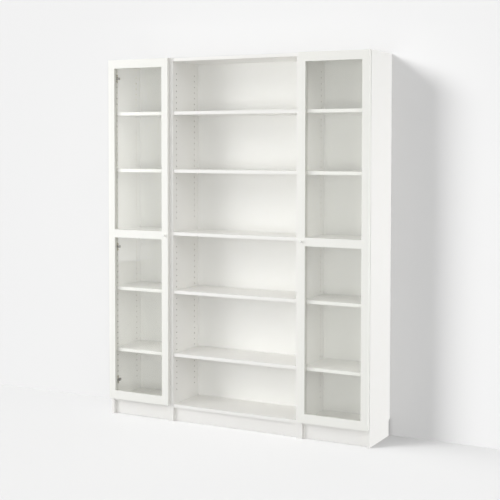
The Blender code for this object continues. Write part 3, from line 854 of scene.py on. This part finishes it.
@dataclass(frozen=True)
class ConcealedHinge:
    """A small concealed hinge: a cup with its link in the door, and an arm on a plate in the case.

    Its frame has X from the hinge edge of the door to its knob, Y to the wall and Z up, with the
    cup's height at zero. X is zero at the side's inner face for the arm, and at the door's hinge
    edge for the cup. Y is zero at the front column of holes for the arm, and at the door's back.
    """

    cup_radius: float = 0.0127
    cup_depth: float = 0.0107
    cup_wall: float = 0.001
    cup_round: float = 0.002
    cup_round_steps: int = 4
    cup_inset: float = 0.018
    flange_half_width: float = 0.008
    flange_half_height: float = 0.024
    flange_round: float = 0.004
    flange_thickness: float = 0.0012
    flange_screw: float = 0.0185
    seat_gap: float = 0.0003
    link_half_height: float = 0.005
    link_thickness: float = 0.004
    arm_half_height: float = 0.0065
    arm_standoff: float = 0.008
    arm_thickness: float = 0.005
    arm_wall: float = 0.0012
    arm_nose: float = 0.0367
    arm_tail: float = 0.018
    arm_nose_width: float = 0.008
    arm_fillet: float = 0.002
    adjusting_screw: float = -0.01835
    fixing_screw: float = 0.006
    plate_half_width: float = 0.007
    plate_half_height: float = 0.023
    plate_thickness: float = 0.002
    plate_round: float = 0.0045
    arris: float = 0.0003
    screw: CrossHeadScrew = CrossHeadScrew(shank_length=0.004)
    steps: int = 32

    def cup(self) -> Shape:
        """The hollow cup with its rounded floor, its mouth at zero, opening to +Y."""
        outer, inner = self.cup_radius, self.cup_radius - self.cup_wall
        bend, floor = self.cup_round, self.cup_wall - self.cup_depth
        arc = quarter(self.cup_round_steps)
        lip = self.flange_thickness + self.seat_gap
        profile = [(0.0, -self.cup_depth)]
        for sine, cosine in arc:
            profile.append((outer - bend + bend * sine, bend - self.cup_depth - bend * cosine))
        profile += [(outer, lip), (inner, lip)]
        profile += [(inner - bend + bend * cosine, floor + bend - bend * sine) for sine, cosine in arc]
        profile.append((0.0, floor))
        return moved(turned(profile, self.steps), FACING_WALL)

    def flange(self) -> Shape:
        """The flange that is screwed to the door's back, in the plane of that back."""
        outline = rounded_rectangle(self.flange_half_width, self.flange_half_height, self.flange_round)
        raised = at(0, self.seat_gap + self.flange_thickness / 2, 0)
        return moved(extruded(outline, self.flange_thickness), raised @ FACING_ROOM)

    def link(self, tip_x: float, tip_y: float) -> Shape:
        """The bent link from the cup's floor to the nose of the arm.

        Args:
            tip_x: X of its tip, from the cup's centre.
            tip_y: Y of its tip, from the door's back.

        Returns:
            The link, centred on the cup's height.
        """
        half, floor = self.link_thickness / 2, self.cup_wall - self.cup_depth
        outline = filleted([
            (-self.link_thickness, floor, 0.0),
            (half, floor, half / 2),
            (tip_x + half, tip_y, half / 2),
            (tip_x - half, tip_y, half / 2),
            (-self.link_thickness, floor / 2, half),
        ])
        return extruded(outline, self.link_half_height * 2)

    def arm(self) -> Shape:
        """The pressed arm over its plate, seen from above."""
        out, thick, nose = self.arm_standoff, self.arm_thickness, -self.arm_nose
        fillet, start = self.arm_fillet, -self.plate_half_width
        outline = filleted([
            (self.seat_gap, self.arm_tail, 0.0),
            (self.seat_gap, start, 0.0),
            (out, start, fillet),
            (out, (nose + start) / 2, fillet),
            (out - thick / 2, nose, fillet / 2),
            (out - thick / 2 + self.arm_nose_width, nose, fillet),
            (out + thick, nose + self.arm_nose_width, fillet),
            (out + thick, self.arm_tail - thick, fillet),
            (out, self.arm_tail, fillet / 2),
        ])
        return extruded(outline, self.arm_half_height * 2)

    def hollow(self) -> Shape:
        """What is taken from under the arm, so that it is a channel of pressed strip."""
        half, wall = self.arm_half_height - self.arm_wall, self.arm_wall
        high = (self.arm_standoff + self.arm_thickness - wall, self.arm_tail - self.arm_thickness, half)
        return block((-wall, -self.arm_nose - wall, -half), high)

    def plate(self) -> Shape:
        """The winged mounting plate against the side."""
        outline = rounded_rectangle(self.plate_half_width, self.plate_half_height, self.plate_round)
        raised = at(self.seat_gap + self.plate_thickness / 2, 0, 0)
        return moved(extruded(outline, self.plate_thickness), raised @ DRAWN_IN_YZ)

    def build(self, number: int, door: Door, case: Case) -> None:
        """Makes both halves of one hinge.

        Args:
            number: the hinge's number on its door, from the lowest.
            door: the door that it carries.
            case: the case that it hangs the door on.
        """
        hand = door.hand.value
        cup_node, arm_node = f"{door.name}_hinge_cup_{number}", f"{case.name}_hinge_arm_{number}"
        height, column = door.hinge_height(number), case.front() + case.holes.columns[0]
        face = case.inner_faces()[0 if door.hand is Hand.LEFT else 1][0]
        edge, door_back = door.hinge_edge(), door.back()
        mirror = Matrix.Diagonal((hand, 1, 1, 1))
        cup_frame = at(edge + hand * self.cup_inset, door_back, height) @ mirror
        arm_frame = at(face, column, height) @ mirror

        nose_centre = self.arm_standoff - self.arm_thickness / 2 + self.arm_nose_width / 2
        tip_x = nose_centre + abs(face - edge) - self.cup_inset
        tip_y = column - self.arm_nose - door_back - 2 * self.seat_gap
        halves = [self.cup(), self.flange(), self.link(tip_x, tip_y)]
        cup = together([moved(half, cup_frame) for half in halves])
        door.maker.piece(f"{cup_node}_body", cup, NICKEL_PLATE, cup_node, self.arris)
        lift = self.seat_gap + self.flange_thickness
        for place, side in (("lower", -1), ("upper", 1)):
            spot = cup_frame @ at(0, lift, side * self.flange_screw) @ FACING_WALL
            self.screw.make(door.maker, f"{cup_node}_{place}_screw", NICKEL_PLATE, spot)

        shapes = (self.arm(), self.hollow(), self.plate())
        arm, hollow, plate = (moved(shape, arm_frame) for shape in shapes)
        # The arm's darker grey is painted shade for the gap under it
        case.maker.piece(f"{arm_node}_channel", arm, DRAWN_STEEL_PAINTED_SHADE, arm_node, self.arris, [hollow])
        case.maker.piece(f"{arm_node}_plate", plate, NICKEL_PLATE, arris=self.arris)
        lift, top = self.seat_gap + self.plate_thickness, self.arm_standoff + self.arm_thickness
        spots = {
            "lower": (lift, 0, -case.holes.pitch / 2),
            "upper": (lift, 0, case.holes.pitch / 2),
            "adjusting": (top, self.adjusting_screw, 0),
            "fixing": (top, self.fixing_screw, 0),
        }
        for place, spot in spots.items():
            matrix = arm_frame @ at(*spot) @ FACING_SIDE[1]
            self.screw.make(case.maker, f"{arm_node}_{place}_screw", NICKEL_PLATE, matrix)


@dataclass(frozen=True)
class Knob:
    """A small turned knob with a round head on a waisted neck, and the screw that holds it."""

    head_radius: float = 0.007
    neck_radius: float = 0.0042
    foot_radius: float = 0.0058
    projection: float = 0.018
    head_length: float = 0.008
    foot_length: float = 0.002
    rounding: float = 0.002
    flare: float = 0.003
    seat_gap: float = 0.0003
    round_steps: int = 6
    steps: int = 40
    screw: CrossHeadScrew = CrossHeadScrew(0.0042, 0.0020, shank_length=0.015, slot_reach=0.0028)

    def shape(self) -> Shape:
        """The knob with its foot at zero and its head towards +Z."""
        face, bend, arc = self.projection, self.rounding, quarter(self.round_steps)
        profile = [(0.0, face)]
        for sine, cosine in arc:
            profile.append((self.head_radius - bend + bend * sine, face - bend + bend * cosine))
        base = face - self.head_length + bend / 2
        for sine, cosine in arc[1:]:
            radius = self.neck_radius + (self.head_radius - self.neck_radius) * cosine
            profile.append((radius, base - self.flare * sine))
        for sine, cosine in arc:
            radius = self.neck_radius + (self.foot_radius - self.neck_radius) * (1 - cosine)
            profile.append((radius, self.foot_length + bend / 2 * (1 - sine)))
        profile += [(self.foot_radius, self.seat_gap), (0.0, self.seat_gap)]
        return turned(profile, self.steps)


@dataclass(frozen=True)
class Door:
    """A glass door: its rebated frame, two panes with their beads, the knob and the hinges."""

    name: str
    case_name: str
    hand: Hand
    maker: Maker
    hinge: ConcealedHinge = ConcealedHinge()
    hinges: int = 3
    knob: Knob = Knob()
    stile_width: float = 0.0405
    lip_thickness: float = 0.015
    rebate_width: float = 0.006
    rebate_play: float = 0.0003
    arris: float = 0.0009
    pane_arris: float = 0.0004
    bead_arris: float = 0.0008
    bore_depth: float = 0.011
    bore_radius: float = 0.013
    knob_bore_radius: float = 0.0023
    overrun: float = 0.003
    bead_overrun: float = 0.03
    flat_angle: float = 1.0
    steps: int = 40

    def frame_box(self) -> Box:
        """The lowest and highest corners of the frame."""
        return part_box(f"{self.name}_frame")

    def hinge_edge(self) -> float:
        """X of the edge that the hinges are on."""
        return self.frame_box()[0 if self.hand is Hand.LEFT else 1].x

    def hinge_height(self, number: int) -> float:
        """Z of the middle of one hinge, from the lowest, which is number 1."""
        low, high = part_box(f"{self.case_name}_hinge_arm_{number}")
        return (low.z + high.z) / 2

    def back(self) -> float:
        """Y of the frame's back."""
        return self.frame_box()[1].y

    def openings(self) -> dict[str, Box]:
        """The lower and upper glass openings as seen from the front, through the frame."""
        low, high = self.frame_box()
        grip = self.rebate_width - self.rebate_play
        found = {}
        for place in ("lower", "upper"):
            pane_low, pane_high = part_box(f"{self.name}_glass_{place}")
            sight_low = Vector((low.x + self.stile_width, low.y, pane_low.z + grip))
            found[place] = (sight_low, Vector((high.x - self.stile_width, high.y, pane_high.z - grip)))
        return found

    def build(self, case: Case) -> None:
        """Makes all the pieces of the door, and its hinges on the case.

        Args:
            case: the case that it hangs on.
        """
        self.make_frame()
        for place, opening in self.openings().items():
            pane = f"{self.name}_glass_{place}"
            self.maker.piece(f"{pane}_pane", block(*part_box(pane)), TOUGHENED_GLASS, pane, self.pane_arris)
            bead, over = f"{self.name}_bead_{place}", Vector((0, self.bead_overrun, 0))
            strip, sight = block(*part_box(bead)), block(opening[0] - over, opening[1] + over)
            self.maker.piece(f"{bead}_strip", strip, POLYPROPYLENE_BEAD, bead, self.bead_arris, [sight])
        self.make_knob()
        for number in range(self.hinges):
            self.hinge.build(number + 1, self, case)

    def make_frame(self) -> None:
        """Makes the frame, with its glass openings, rebates, cup bores and knob bore."""
        low, high = self.frame_box()
        depth = self.bore_depth + self.overrun
        x, y = self.hinge_edge() + self.hand.value * self.hinge.cup_inset, high.y + self.overrun - depth / 2
        spots = [at(x, y, self.hinge_height(number + 1)) for number in range(self.hinges)]
        bores = [moved(rod(self.bore_radius, depth, self.steps), spot @ FACING_ROOM) for spot in spots]
        knob_low, knob_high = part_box(f"{self.name}_knob")
        middle = (knob_low + knob_high) / 2
        knob_spot = at(middle.x, (low.y + high.y) / 2, middle.z) @ FACING_ROOM
        length = high.y - low.y + 2 * self.overrun
        bores.append(moved(rod(self.knob_bore_radius, length, self.steps), knob_spot))
        node, cutters = f"{self.name}_frame", [together(bores)]
        self.maker.piece(f"{node}_lacquered", self.pierced(), ACRYLIC_LACQUER, node, self.arris, cutters)

    def pierced(self) -> Shape:
        """The frame as a slab with its openings and rebates, before its edges are rounded."""
        over = Vector((0, self.overrun, 0))
        rebate = Vector((self.rebate_width, 0, self.rebate_width))
        step = Vector((0, self.lip_thickness, 0)) - rebate
        openings = self.openings().values()
        sight = together([block(low - over, high + over) for low, high in openings])
        rebates = together([block(low + step, high + over + rebate) for low, high in openings])
        rough = new_object(f"{self.name}_rough", block(*self.frame_box()), ACRYLIC_LACQUER.material())
        cut(rough, [sight, rebates], ACRYLIC_LACQUER)
        mesh = bmesh.new()
        mesh.from_mesh(rough.data)
        bpy.data.objects.remove(rough, do_unlink=True)
        flat = math.radians(self.flat_angle)
        bmesh.ops.dissolve_limit(mesh, angle_limit=flat, verts=mesh.verts, edges=mesh.edges)
        return mesh

    def make_knob(self) -> None:
        """Makes the knob at the front and its screw at the back of the stile."""
        node = f"{self.name}_knob"
        low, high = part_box(node)
        frame_low, frame_high = self.frame_box()
        x, z = (low.x + high.x) / 2, (low.z + high.z) / 2
        knob = moved(self.knob.shape(), at(x, frame_low.y, z) @ FACING_ROOM)
        self.maker.piece(f"{node}_turned", knob, POWDER_COAT, node)
        behind = at(x, frame_high.y, z) @ FACING_WALL
        self.knob.screw.make(self.maker, f"{node}_screw", ZINC_PLATE, behind)


class Target(Enum):
    """What a lamp shines on. The rest is kept from its light by flags, as in a studio."""

    BOOKCASE = "bookcase"
    STAGE = "stage"
    FLOOR = "floor"


@dataclass(frozen=True)
class Lamp:
    """A soft studio lamp, placed by the direction that it shines from.

    Azimuth 0 is straight in front of the bookcase and 90 to its right. A lamp with a size is a
    softbox. One without shines evenly from afar, and its light comes in over its spread's angle.
    """

    name: str
    target: Target
    azimuth: float
    elevation: float
    power: float
    distance: float = 10.0
    size: tuple[float, float] | None = None
    spread: float = 30.0
    aim: tuple[float, float, float] = (0.0, 0.0, 1.0)

    def place(self) -> Vector:
        """Where the lamp hangs."""
        level = Matrix.Rotation(math.radians(self.azimuth), 3, "Z")
        raised = Matrix.Rotation(-math.radians(self.elevation), 3, "X")
        return Vector(self.aim) + level @ raised @ Vector((0, -self.distance, 0))

    def build(self, stage: Sequence[Object]) -> None:
        """Hangs the lamp, out of sight of mirror-like surfaces.

        Args:
            stage: the floor and the wall.
        """
        light = bpy.data.lights.new(self.name, "AREA" if self.size else "SUN")
        light.energy = self.power
        if self.size:
            light.shape = "RECTANGLE"
            light.size, light.size_y = self.size
        else:
            light.angle = math.radians(self.spread)
        lamp = bpy.data.objects.new(self.name, light)
        lamp.location = self.place()
        towards = Vector(self.aim) - lamp.location
        lamp.rotation_euler = towards.to_track_quat("-Z", "Y").to_euler()
        lamp.visible_glossy = False
        lamp.visible_transmission = False
        bpy.context.scene.collection.objects.link(lamp)
        flags = bpy.data.collections.new(f"{self.name}_flags")
        for obj in stage:
            if self.target is not Target.FLOOR or obj.name == Target.FLOOR.value:
                flags.objects.link(obj)
        lamp.light_linking.receiver_collection = flags
        for flagged in flags.collection_objects:
            kept_off = self.target is Target.BOOKCASE
            flagged.light_linking.link_state = "EXCLUDE" if kept_off else "INCLUDE"
        LOG.info("%s hangs at %s", self.name, [round(part, 2) for part in lamp.location])


@dataclass(frozen=True)
class Studio:
    """The pale floor and wall, the lamps and the camera."""

    room_colour: str = "#F3F3F3"
    wall_colour: str = "#E6E6E6"
    floor_colour: str = "#D4D4D4"
    ambient: float = 0.04
    ceiling: float = 0.63
    ceiling_from: float = 0.5
    ceiling_power: float = 2.0
    bounce: float = 0.12
    mirrored: float = 2.1
    mirrored_overhead: float = 1.40
    mirrored_from: float = 0.03
    mirrored_to: float = 0.08
    card_glare: float = 1.45
    card_edges: tuple[float, float, float, float] = (-146.4, -143.9, -125.0, -110.0)
    near_floor: tuple[float, float] = (0.85, 1.10)
    near_centre: tuple[float, float, float] = (-0.6, 0.0, 0.0)
    far_floor: tuple[float, float] = (5.4, 6.4)
    mirrored_floor: tuple[float, float] = (1.15, 1.80)
    floor_glow: float = 0.10
    floor_radius: float = 9.0
    floor_steps: int = 96
    fade_shares: tuple[float, float] = (0.30, 0.90)
    wall_y: float = 0.162
    wall_half_width: float = 9.0
    wall_height: float = 7.0
    camera_place: tuple[float, float, float] = (2.8006, -4.9853, 1.5075)
    camera_turn: float = 26.066
    camera_pitch: float = 87.768
    camera_roll: float = 0.178
    lens: float = 75.152
    sensor_width: float = 36.0
    shift: tuple[float, float] = (-0.1064, -0.116)
    lamps: tuple[Lamp, ...] = (
        Lamp("key_softbox", Target.BOOKCASE, -50, 13, 68, 5.5, (3.0, 3.5)),
        Lamp("low_softbox", Target.BOOKCASE, -39, -2, 42, 5.5, (3.0, 2.0)),
        Lamp("high_key", Target.BOOKCASE, -39, 28, 0.46, spread=35),
        Lamp("fill_softbox", Target.BOOKCASE, 16, 0, 77, 6.0, (3.0, 3.0)),
        Lamp("high_right", Target.BOOKCASE, 55, 28, 0.58, spread=40),
        Lamp("side_softbox", Target.BOOKCASE, 96, -3, 124, 5.8, (1.5, 2.6)),
        Lamp("wall_key", Target.STAGE, -48, 22, 2.40, spread=22),
        Lamp("wall_fill", Target.STAGE, 8, 20, 1.22, spread=110),
        Lamp("floor_fill", Target.FLOOR, -50, 50, 2.0, spread=60),
    )

    def build(self) -> None:
        """Makes the studio."""
        self.make_world()
        stage = [self.make_floor(), self.make_wall()]
        for lamp in self.lamps:
            lamp.build(stage)
        self.make_camera()
        bpy.context.scene.view_settings.view_transform = "Standard"

    def make_world(self) -> None:
        """A pale room all round, brightest overhead. Mirrors and panes show it brighter than it is."""
        world = bpy.data.worlds.new("studio")
        tree = emptied(world)
        path = add_node(tree, "LightPath").outputs
        direction = add_node(tree, "TexCoord").outputs["Generated"]
        axes = add_node(tree, "SeparateXYZ", {"Vector": direction}).outputs
        height = {"Value": axes["Z"]}
        raised = add_node(tree, "Math", {"operation": "MAXIMUM", **height, "Value_001": self.ceiling_from})
        overhead = add_node(tree, "Math", {
            "operation": "POWER", "Value": raised, "Value_001": self.ceiling_power,
        })
        strength = add_node(tree, "Math", {
            "operation": "MULTIPLY_ADD", "Value": overhead, "Value_001": self.ceiling,
            "Value_002": self.ambient,
        })
        below = add_node(tree, "Math", {"operation": "LESS_THAN", **height, "Value_001": 0.0})
        total = add_node(tree, "Math", {
            "operation": "MULTIPLY_ADD", "Value": below, "Value_001": self.bounce, "Value_002": strength,
        })
        light = add_node(tree, "Background", {"Color": (1, 1, 1, 1), "Strength": total})
        glare = self._mirror_strength(tree, path, self._room_glare(tree, axes))
        seen = add_node(tree, "Background", {"Color": linear_from_hex(self.room_colour), "Strength": glare})
        choice = {"Fac": path["Is Diffuse Ray"], "Shader": seen, "Shader_001": light}
        add_node(tree, "OutputWorld", {"Surface": add_node(tree, "MixShader", choice)})
        bpy.context.scene.world = world

    def _room_glare(self, tree: NodeTree, axes: bpy.types.NodeOutputs) -> Node:
        """How bright the room is in a mirror: dimmer overhead, and with a bright card on the left.

        Args:
            tree: the world's node tree.
            axes: the outputs that give the direction's X, Y and Z.

        Returns:
            The node that gives the strength.
        """
        level = add_node(tree, "MapRange", {
            **SMOOTH, "Value": axes["Z"], "From Min": self.mirrored_from, "From Max": self.mirrored_to,
            "To Min": self.mirrored, "To Max": self.mirrored_overhead,
        })
        start, full, fading, end = (math.radians(edge) for edge in self.card_edges)
        turn = add_node(tree, "Math", {"operation": "ARCTAN2", "Value": axes["X"], "Value_001": axes["Y"]})
        card = add_node(tree, "MapRange", {
            **SMOOTH, "Value": turn, "From Min": start, "From Max": full, "To Max": self.card_glare,
        })
        within = add_node(tree, "MapRange", {**SMOOTH, "Value": turn, "From Min": end, "From Max": fading})
        parts = {"Value": card, "Value_001": within, "Value_002": level}
        return add_node(tree, "Math", {"operation": "MULTIPLY_ADD", **parts})

    def _mirror_strength(self, tree: NodeTree, path: bpy.types.NodeOutputs, glare: Node) -> Node:
        """A strength of one to the camera, and another to a ray that has met a mirror-like surface.

        Args:
            tree: the node tree.
            path: the outputs of its Light Path node.
            glare: the node that gives the strength after a mirror.

        Returns:
            The node that gives the strength to use.
        """
        bounces = {"Value": path["Glossy Depth"], "Value_001": 1.0}
        met = add_node(tree, "Math", {"operation": "MINIMUM", **bounces})
        return add_node(tree, "Mix", {"A_Float": 1.0, "B_Float": glare, "Factor_Float": met})

    def make_floor(self) -> Object:
        """A round pale floor that fades to the room's colour before it ends."""
        mesh = bmesh.new()
        bmesh.ops.create_circle(mesh, cap_ends=True, segments=self.floor_steps, radius=self.floor_radius)
        pale = self._stage_material("pale_floor", self.floor_colour, self.floor_radius, self.floor_glow)
        floor = new_object("floor", mesh, pale)
        floor.visible_diffuse = False
        return floor

    def make_wall(self) -> Object:
        """A pale wall that the bookcase stands against, and that can't be seen from behind."""
        half, top = self.wall_half_width, self.wall_height
        mesh = bmesh.new()
        corners = [(-half, 0), (half, 0), (half, top), (-half, top)]
        mesh.faces.new([mesh.verts.new((x, self.wall_y, z)) for x, z in corners])
        pale = self._stage_material("pale_wall", self.wall_colour, top, 0.0, one_sided=True)
        wall = new_object("wall", mesh, pale)
        for seen_by in ("diffuse", "glossy", "transmission", "shadow"):
            setattr(wall, f"visible_{seen_by}", False)
        return wall

    def _floor_glare(self, tree: NodeTree, place: NodeSocket) -> Node:
        """How bright the floor is in a mirror: dim beside the left foot, and brightest far off.

        Args:
            tree: the floor's node tree.
            place: the output that gives the place on the floor.

        Returns:
            The node that gives the strength.
        """
        levels = (*self.mirrored_floor, self.mirrored)
        rings = ((self.near_centre, self.near_floor), ((0.0, 0.0, 0.0), self.far_floor))
        steps = []
        for (centre, edges), low, high in zip(rings, levels, levels[1:]):
            spots = {"Vector": place, "Vector_001": centre}
            distance = add_node(tree, "VectorMath", {"operation": "DISTANCE", **spots})
            edge = {"From Min": edges[0], "From Max": edges[1], "To Max": high - low}
            steps.append(add_node(tree, "MapRange", {**SMOOTH, "Value": distance, **edge}))
        rise = add_node(tree, "Math", {"operation": "ADD", "Value": steps[0], "Value_001": steps[1]})
        return add_node(tree, "Math", {"operation": "ADD", "Value": rise, "Value_001": levels[0]})

    def _stage_material(
        self, name: str, colour: str, reach: float, least: float, one_sided: bool = False
    ) -> Material:
        """A matt pale surface that fades, away from the bookcase, to the colour of the room.

        Args:
            name: the material's name.
            colour: its colour as a matt surface.
            reach: how far from the bookcase it ends.
            least: the share of the room's colour that it has everywhere.
            one_sided: whether it is clear from behind.

        Returns:
            The material.
        """
        made = bpy.data.materials.new(name)
        tree = emptied(made)
        place, path = (add_node(tree, kind).outputs for kind in ("NewGeometry", "LightPath"))
        distance = add_node(tree, "VectorMath", {"operation": "LENGTH", "Vector": place["Position"]})
        start, end = (reach * share for share in self.fade_shares)
        edges = {"From Min": start, "From Max": end, "To Min": least}
        fade = add_node(tree, "MapRange", {**SMOOTH, "Value": distance, **edges})
        matt = add_node(tree, "BsdfDiffuse", {"Color": linear_from_hex(colour)})
        glare = self._mirror_strength(tree, path, self._floor_glare(tree, place["Position"]))
        glow = add_node(tree, "Emission", {"Color": linear_from_hex(self.room_colour), "Strength": glare})
        parts = {"Value": fade, "Value_001": path["Glossy Depth"]}
        share = add_node(tree, "Math", {"operation": "MAXIMUM", **parts})
        shown = add_node(tree, "MixShader", {"Fac": share, "Shader": matt, "Shader_001": glow})
        if one_sided:
            clear = add_node(tree, "BsdfTransparent")
            sides = {"Fac": place["Backfacing"], "Shader": shown, "Shader_001": clear}
            shown = add_node(tree, "MixShader", sides)
        add_node(tree, "OutputMaterial", {"Surface": shown})
        return made

    def make_camera(self) -> None:
        """Places the camera at the photograph's viewing angle."""
        data = bpy.data.cameras.new("camera")
        data.sensor_width = self.sensor_width
        data.lens = self.lens
        data.shift_x, data.shift_y = self.shift
        camera = bpy.data.objects.new("camera", data)
        turn = Matrix.Rotation(math.radians(self.camera_turn), 4, "Z")
        pitch = Matrix.Rotation(math.radians(self.camera_pitch), 4, "X")
        roll = Matrix.Rotation(math.radians(self.camera_roll), 4, "Z")
        camera.matrix_world = at(*self.camera_place) @ turn @ pitch @ roll
        bpy.context.scene.collection.objects.link(camera)
        bpy.context.scene.camera = camera


def main() -> None:
    """Builds the bookcase and its studio."""
    logging.basicConfig(level=logging.INFO, format="%(name)s: %(message)s")
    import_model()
    cases = {name: Case(name, Maker(Body.CASES)) for name in ("left_case", "middle_case", "right_case")}
    for case in cases.values():
        case.build()
    doors = [
        Door("left_door", "left_case", Hand.LEFT, Maker(Body.LEFT_DOOR)),
        Door("right_door", "right_case", Hand.RIGHT, Maker(Body.RIGHT_DOOR)),
    ]
    for door in doors:
        door.build(cases[door.case_name])
    Studio().build()


if __name__ == "__main__":
    main()
